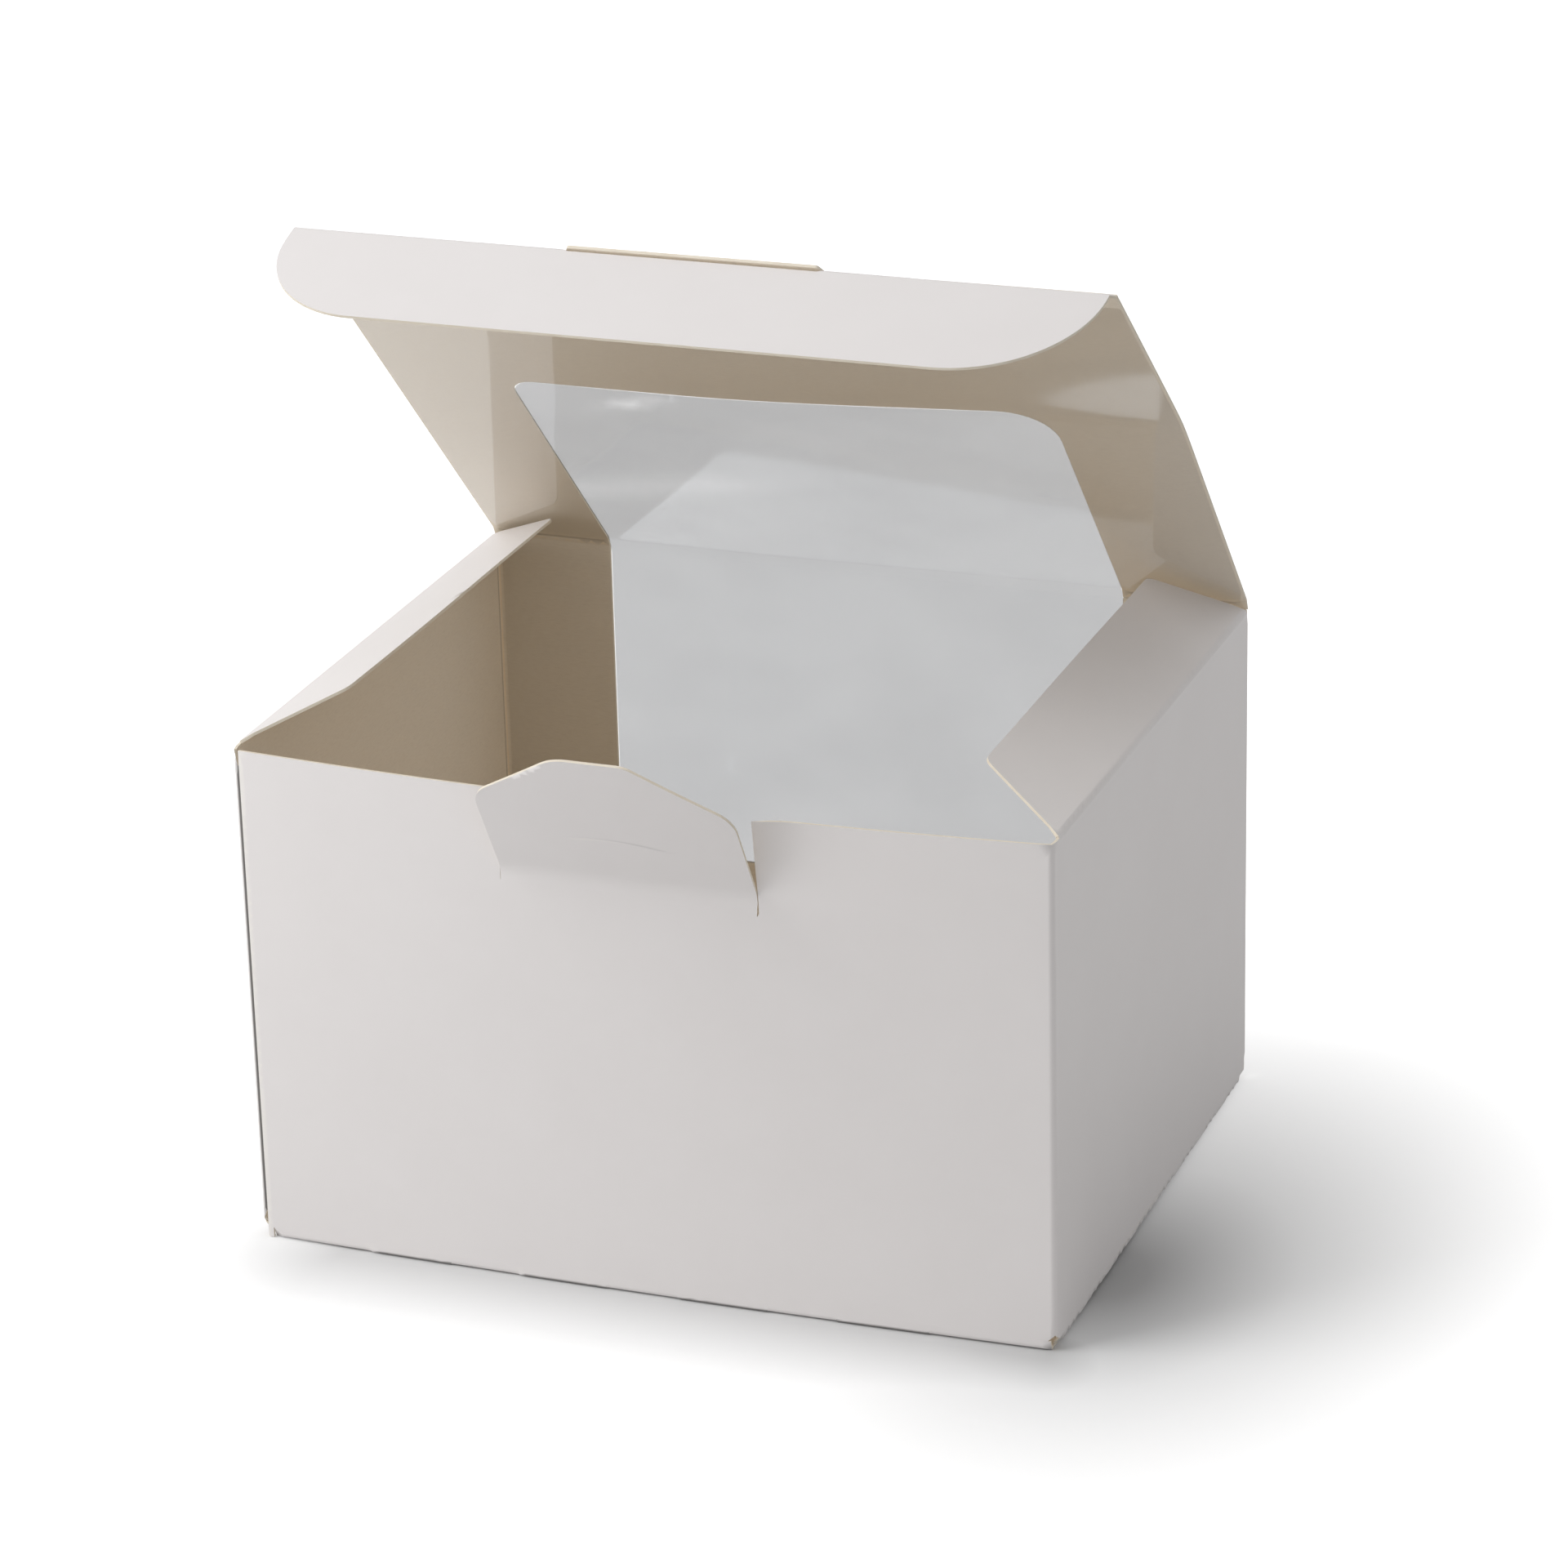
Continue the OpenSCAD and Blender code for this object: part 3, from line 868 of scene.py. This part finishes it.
tuck = board_sheet("tuck_flap_board", [tuck_outline()], tuck_place, grid(-tuck_half, tuck_half, 2.5 * mm),
                   near_fold(1.2 * mm) + grid(2.5 * mm, tuck_height, 2.5 * mm), board_finishes)
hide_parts("tuck_flap")
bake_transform(tuck)

# %% [markdown]
# ## The dust flaps
# Each side wall ends in a narrow flap that folds in under the lid. Their creases spring back, so
# they stand at a slant and show their white side. Both come from one outline, mirrored. Noise lifts
# their free edges a few tenths of a millimetre, because handled board is never quite flat.

# %% Dust flaps
dust_width = 18 * mm
front_slant, back_slant = 11 * mm, 8.5 * mm
dust_rows = near_fold(0.9 * mm) + grid(2 * mm, dust_width, 2 * mm)


def dust_place(side):
    def place(y, s, w):
        along, out = fold(s, w, 90 - dust_angle, dust_reach)
        lift = 0.35 * mm * (s / dust_width) * ripple(y, s, 3.0 + side)
        return (side * (dust_pivot.x + out), side * y, dust_pivot.z + along + lift)
    return place


def dust_outline(side):
    """The flap of the right side wall for 1, and its mirror image for -1."""
    front, back = side * flap_front, side * flap_back
    corners = [
        (front, -dust_reach, 0), (back, -dust_reach, 0), (back, 0, 0),
        (back - side * back_slant, dust_width, 2.5 * mm),
        (front + side * front_slant, dust_width, 3 * mm), (front, 0, 0),
    ]
    return rounded(corners if side > 0 else corners[::-1])


for name, side in (("right_dust_flap", 1), ("left_dust_flap", -1)):
    flap = board_sheet(name + "_board", [dust_outline(side)], dust_place(side),
                       grid(-half_d, half_d, 2.5 * mm), dust_rows, board_finishes)
    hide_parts(name)
    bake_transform(flap)

# %% [markdown]
# ## The lock tongue
# The tongue is cut free by two slits and pulled out of the front wall. Nothing creases it, so it
# leaves the wall in a soft bend, then straightens towards its tip. Its side view is a line whose
# lean is known at every step, so the line is found by adding up small steps.

# %% Lock tongue
tongue_half = 23.5 * mm
tongue_left = -slit_x + 0.05 * mm
tongue_length = 34.5 * mm
tongue_shoulder, tongue_tip_half = 23 * mm, 6.5 * mm
tongue_bend, tongue_angle, tongue_ease = 5 * mm, 34, 7
tongue_steps = 120
crown_height, crown_run = 0.5 * mm, 15 * mm
arc_height, arc_bend = 14.4 * mm, 14


def tongue_lean(s):
    """How far the tongue leans out of the wall at s from its fold, in radians."""
    return math.radians(tongue_angle - tongue_ease * s / tongue_length) * eased(s / tongue_bend)


tongue_step = tongue_length / tongue_steps
tongue_line = [(0.0, 0.0)]
for k in range(tongue_steps + 10):
    lean = tongue_lean((k + 0.5) * tongue_step)
    up, out = tongue_line[-1]
    tongue_line.append((up + tongue_step * math.cos(lean), out + tongue_step * math.sin(lean)))


def tongue_place(x, s, w):
    at = max(s, 0) / tongue_length * tongue_steps
    k = int(at)
    up, out = (a + (b - a) * (at - k) for a, b in zip(tongue_line[k], tongue_line[k + 1]))
    lean = tongue_lean(max(s, 0))
    base = front_y(min(max(x, -slit_x), slit_x - 0.3 * mm), fold_height)
    crown = crown_height * (x / tongue_half) ** 2 * min(s / crown_run, 1)
    return (x, base - out + crown - w * math.cos(lean), fold_height + up - w * math.sin(lean))


def tongue_outline():
    """Straight sides up to the shoulders, then slanting sides and a short, softly rounded tip."""
    return rounded([
        (tongue_left, 0, 0), (tongue_half - 0.15 * mm, 0, 0), (tongue_half, 1.5 * mm, 0),
        (tongue_half, tongue_shoulder, 6 * mm), (tongue_tip_half, tongue_length, 4 * mm),
        (-tongue_tip_half, tongue_length, 9 * mm), (tongue_left, tongue_shoulder, 6 * mm),
    ])


def tongue_marks(x, s, w):
    """Painted light and shade on the faint arc the lid's edge pressed into the tongue, light at the left
    end.
    """
    if w < 0:
        return 0.0
    arc = arc_height - arc_bend * (x + 1 * mm) ** 2
    ends = held((9.5 * mm - abs(x - 0.8 * mm)) / (2.5 * mm))
    share = held((4 * mm - x) / (8 * mm))
    light = 0.5 * share * line_at(s, arc - 0.2 * mm, 0.22 * mm)
    dark = (0.08 + 0.12 * (1 - share)) * line_at(s, arc + 0.1 * mm, 0.2 * mm)
    return ends * (light - dark)


arc_rows = grid(arc_height - 2.3 * mm, arc_height + 0.5 * mm, 0.2 * mm)
tongue = board_sheet("lock_tongue_board", [tongue_outline()], tongue_place,
                     grid(-tongue_half, tongue_half, 1.5 * mm),
                     grid(0, tongue_length, 0.8 * mm) + arc_rows,
                     board_finishes, step=1.2 * mm, marks=tongue_marks)
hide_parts("lock_tongue")
lean = math.radians(tongue_angle)
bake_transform(tongue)

# %% [markdown]
# ## The window film
# One clear film is glued inside the back wall and under the lid. It crosses the crease in a small
# curve and never lies quite flat, which is what makes its reflections break up. It is drawn as one
# sheet and blended over the hinge, so that it bends with the lid and is never torn.

# %% Shape of the window film
film_thickness, film_gap = 0.1 * mm, 0.06 * mm
film_half = window_half + 22.4 * mm
film_wide = film_half + 1 * mm
film_low, film_end = window_bottom - 8.5 * mm - hinge.z, lid_window_length + 46 * mm
film_reach = 2.2 * mm
dip_height, dip_start = 0.22 * mm, 6 * mm


def film_place(x, s, w):
    w -= board / 2 + film_thickness / 2 + film_gap
    along, out = fold(s, w, lid_turn, film_reach)
    dip = dip_height * ripple(x * 1.5, s * 1.5, 7.0) * held((window_half - abs(x)) / dip_start)
    dome = lid_dome(-x, s)
    y, z = hinge.y + out + dome * lid_out_y, hinge.z + along + dome * lid_out_z
    if s > 0:
        return (-x, y + dip * lid_out_y, z + dip * lid_out_z)
    return (-x, y + dip, z)


def film_outline():
    """The whole sheet, a little wider on the lid than on the back wall."""
    return rounded([(-film_half, film_low, 0), (film_half, film_low, 0), (film_half, 0, 0),
                    (film_wide, 5 * mm, 0), (film_wide, film_end, 0), (-film_wide, film_end, 0),
                    (-film_wide, 5 * mm, 0), (-film_half, 0, 0)])


def window_patch():
    """The window as it shows on the film, which lies behind the board and is seen at a slant."""
    low, high = window_bottom - hinge.z - 0.1 * mm, lid_window_length + 0.3 * mm
    right, left = -window_half - 0.1 * mm, window_half - 0.35 * mm
    return rounded([(right, low, window_corner), (left, low, window_corner),
                    (left, high, left_corner), (right, high, right_corner)])


def painted_film_reflections(x, s, w):
    """Painted reflections: light streaks in the lid's part of the film, where it is pulled tight from a
    corner.
    """
    if s < 8 * mm:
        return 0.0
    fan = line_at(s, 26 * mm - 0.25 * (x - 36 * mm), 4 * mm) * held((x + 4 * mm) / (34 * mm))
    streak = line_at(s, 60 * mm - 0.35 * (x - 30 * mm), 1.6 * mm) * line_at(x, 28 * mm, 6 * mm)
    return 0.3 * fan + 0.9 * streak


print("the film is", round((film_end - film_low) / mm), "by", round(2 * film_wide / mm), "mm")

# %% [markdown]
# The film is nearly clear and mirrors more the flatter it is looked at, so it is a mix of a
# see-through and a glossy shader. Over the opening the camera sees it grey against the white room
# behind it: a painted shade over the window, lightened in streaks by painted reflections. Only the
# camera gets that tint, because a tinted film would also darken the inside of the box.

# %% Finish of the window film
clear = (0.98, 0.98, 0.98)


def film_finish(name, over_opening):
    """The film over board, or over the opening with its cloudy painted grey shade and painted reflections.
    """
    finish, nodes, links, shader = new_finish(name)
    nodes.remove(shader)
    through = nodes.new("ShaderNodeBsdfTransparent")
    put(links, clear, through.inputs["Color"])
    if over_opening:
        # The grey over the opening is painted shade, seen by the camera only.
        grey_cloud = noise_field(nodes, links, (1, 1.6, 1), 22, 2)
        grey = colour_band(nodes, links, grey_cloud, [(0.36, (0.655, 0.658, 0.664)), (0.6, (0.675, 0.678, 0.684))])
        # Painted reflections: the marks lighten the grey in streaks.
        grey = marked(nodes, links, grey, (0.5, 0.5, 0.5), (0.82, 0.825, 0.83))
        camera_ray = nodes.new("ShaderNodeLightPath").outputs["Is Camera Ray"]
        links.new(mixed(nodes, links, camera_ray, clear, grey), through.inputs["Color"])
    mirror = nodes.new("ShaderNodeBsdfGlossy")
    mirror.inputs["Roughness"].default_value = 0.05
    wrinkle = noise_field(nodes, links, (1, 0.5, 1), 30, 2)
    links.new(bump(nodes, links, wrinkle, 0.35, 0.5 * mm), mirror.inputs["Normal"])
    slant = nodes.new("ShaderNodeLayerWeight").outputs["Facing"]
    share = ranged(nodes, links, maths(nodes, links, "POWER", slant, 5), 0, 1, 0.04, 1)
    both = nodes.new("ShaderNodeMixShader")
    links.new(share, both.inputs[0])
    links.new(through.outputs[0], both.inputs[1])
    links.new(mirror.outputs[0], both.inputs[2])
    links.new(both.outputs[0], nodes["Material Output"].inputs["Surface"])
    return finish


film_rows = (grid(film_low, -3 * mm, 3 * mm) + near_fold(2.4 * mm, 0.4 * mm)
             + grid(3 * mm, film_end, 3 * mm))
film_over_board = film_finish("clear_film_over_board", False)
film_over_opening = film_finish("clear_film_over_window", True)
film = board_sheet("window_film", [film_outline()], film_place, grid(-film_half, film_half, 3 * mm),
                   film_rows, [film_over_board] * 3 + [film_over_opening],
                   thickness=film_thickness, marks=painted_film_reflections, patch=[window_patch()])
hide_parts("window_film_lid", "window_film_back")
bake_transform(film)

# %% [markdown]
# ## The floor
# The box stands on a plain white sweep that fades into the room behind it. A real studio burns its
# floor out to white with more light than would suit the box. Here the floor gives off a little light
# of its own instead, only for what the camera sees. That light is lower the nearer the floor is to
# the right wall and to the foot of the front wall, so that the soft shadow there stays. Beside the
# right wall the camera also sees a darker floor colour, a painted shadow that deepens the real one.

# %% Floor
floor_radius, floor_drop, floor_sides = 3.0, 0.02 * mm, 96
floor_glow = 0.75
shade_middle, shade_reach = (half_w, -28 * mm, 0), (65 * mm, 90 * mm)
foot_middle, foot_half = (8 * mm, -half_d - 1 * mm, 0), (66 * mm, 1.5 * mm, 0.1 * mm)
# shaded_floor is a painted shadow tone, seen only by the camera.
bright_floor, shaded_floor = (0.68, 0.68, 0.68), (0.42, 0.42, 0.42)


def looked_at(nodes, links):
    """1 for what the camera sees, straight or in a gloss or through glass, and 0 for plain light."""
    path = nodes.new("ShaderNodeLightPath")
    seen = path.outputs["Is Camera Ray"]
    for ray in ("Is Glossy Ray", "Is Transmission Ray"):
        seen = maths(nodes, links, "MAXIMUM", seen, path.outputs[ray])
    return seen


def vector_maths(nodes, links, kind, value, *others):
    """One operation on a place, and on fixed vectors where it needs them."""
    node = nodes.new("ShaderNodeVectorMath")
    node.operation = kind
    for k, given in enumerate((value, *others)):
        put(links, given, node.inputs[k])
    return node.outputs["Value" if kind == "LENGTH" else "Vector"]


def white_floor():
    """Matt white, with its own light and a painted shadow: a darker colour beside the right wall."""
    finish, nodes, links, shader = new_finish("white_floor")
    shader.inputs["Roughness"].default_value = 0.9
    shader.inputs["Specular IOR Level"].default_value = 0.0
    place = nodes.new("ShaderNodeTexCoord").outputs["Object"]
    beside = vector_maths(nodes, links, "SUBTRACT", place, shade_middle)
    beside = vector_maths(nodes, links, "MULTIPLY", beside, (1 / shade_reach[0], 1 / shade_reach[1], 0))
    beside = vector_maths(nodes, links, "LENGTH", beside)
    before = vector_maths(nodes, links, "SUBTRACT", place, foot_middle)
    before = vector_maths(nodes, links, "ABSOLUTE", before)
    before = vector_maths(nodes, links, "SUBTRACT", before, foot_half)
    before = vector_maths(nodes, links, "MAXIMUM", before, (0, 0, 0))
    before = vector_maths(nodes, links, "LENGTH", before)
    seen = looked_at(nodes, links)
    lift = maths(nodes, links, "MINIMUM", ranged(nodes, links, beside, 0.1, 1.4, 0, floor_glow),
                 ranged(nodes, links, before, 0.5 * mm, 40 * mm, 0, floor_glow))
    put(links, (1, 1, 1), shader.inputs["Emission Color"])
    links.new(maths(nodes, links, "MULTIPLY", seen, lift), shader.inputs["Emission Strength"])
    # Painted shadow: the camera sees a darker floor colour near the right wall.
    painted_shadow_share = maths(nodes, links, "MULTIPLY", seen, ranged(nodes, links, beside, 0, 0.5, 1, 0))
    tone = colour_band(nodes, links, painted_shadow_share, [(0, bright_floor), (1, shaded_floor)])
    links.new(tone, shader.inputs["Base Color"])
    return finish


mesh = bpy.data.meshes.new("floor")
around = [2 * math.pi * k / floor_sides for k in range(floor_sides)]
ring = [(floor_radius * math.cos(a), floor_radius * math.sin(a), -floor_drop) for a in around]
mesh.from_pydata(ring, [], [tuple(range(floor_sides))])
mesh.materials.append(white_floor())
floor = bpy.data.objects.new("floor", mesh)
bpy.context.scene.collection.objects.link(floor)
print("the floor reaches", floor_radius, "m from the box")

# %% [markdown]
# ## The light
# The photograph's light is soft and comes mostly from the front left. One large lamp stands there, a
# smaller one lights the front wall from low down, a weak one fills from above, and the white room
# gives the rest. The room looks brighter to the camera than the light it gives, so that the
# background is white and the box keeps its shades.

# %% World and lamps
room_light, room_seen = 0.465, 1.0
box_middle = (0, 0, 60 * mm)
world = bpy.data.worlds.new("studio")
bpy.context.scene.world = world
world.use_nodes = True
nodes, links = world.node_tree.nodes, world.node_tree.links
strength = ranged(nodes, links, looked_at(nodes, links), 0, 1, room_light, room_seen)
put(links, (1, 1, 1), nodes["Background"].inputs["Color"])
links.new(strength, nodes["Background"].inputs["Strength"])


def lamp(name, place, size, power):
    """A square lamp that faces the middle of the box."""
    data = bpy.data.lights.new(name, "AREA")
    data.size = size
    data.energy = power
    thing = bpy.data.objects.new(name, data)
    thing.location = place
    thing.rotation_euler = (Vector(box_middle) - Vector(place)).to_track_quat("-Z", "Y").to_euler()
    bpy.context.scene.collection.objects.link(thing)
    print("lamp", name, "gives", power, "W")


lamp("key", (-0.62, -0.42, 0.85), 0.6, 4.9)
lamp("side", (-0.45, -0.38, 0.22), 0.3, 0.75)
lamp("top", (0.0, 0.0, 1.05), 0.9, 0.9)

# %% [markdown]
# ## The camera
# The camera's place was worked out from nine corners and folds of the box in the photograph. The
# real box is a little out of square and this one isn't, so a few corners lie beside their places.
# It is a long lens from a metre away, so the box shows little perspective.

# %% Camera
def photo_camera(target, distance, pitch, yaw, roll, lens):
    """A camera that looks at the target from in front and from the right, a little from above."""
    p, y, r = (math.radians(v) for v in (pitch, yaw, roll))
    ahead = Vector((-math.sin(y) * math.cos(p), math.cos(y) * math.cos(p), -math.sin(p)))
    right = Vector((math.cos(y), math.sin(y), 0))
    down = ahead.cross(right)
    right, down = math.cos(r) * right + math.sin(r) * down, math.cos(r) * down - math.sin(r) * right
    place = Vector(target) - ahead * distance
    axes = Matrix((right, -down, -ahead)).transposed().to_4x4()
    data = bpy.data.cameras.new("camera")
    data.lens = lens
    camera = bpy.data.objects.new("camera", data)
    camera.matrix_world = Matrix.Translation(place) @ axes
    bpy.context.scene.collection.objects.link(camera)
    bpy.context.scene.camera = camera
    print("camera at", [round(v, 3) for v in place])


photo_camera(target=(5.365 * mm, 0, 74.2 * mm), distance=1.0091, pitch=21.86, yaw=20.80, roll=1.50,
             lens=129.06)
bpy.context.scene.view_settings.view_transform = "Standard"
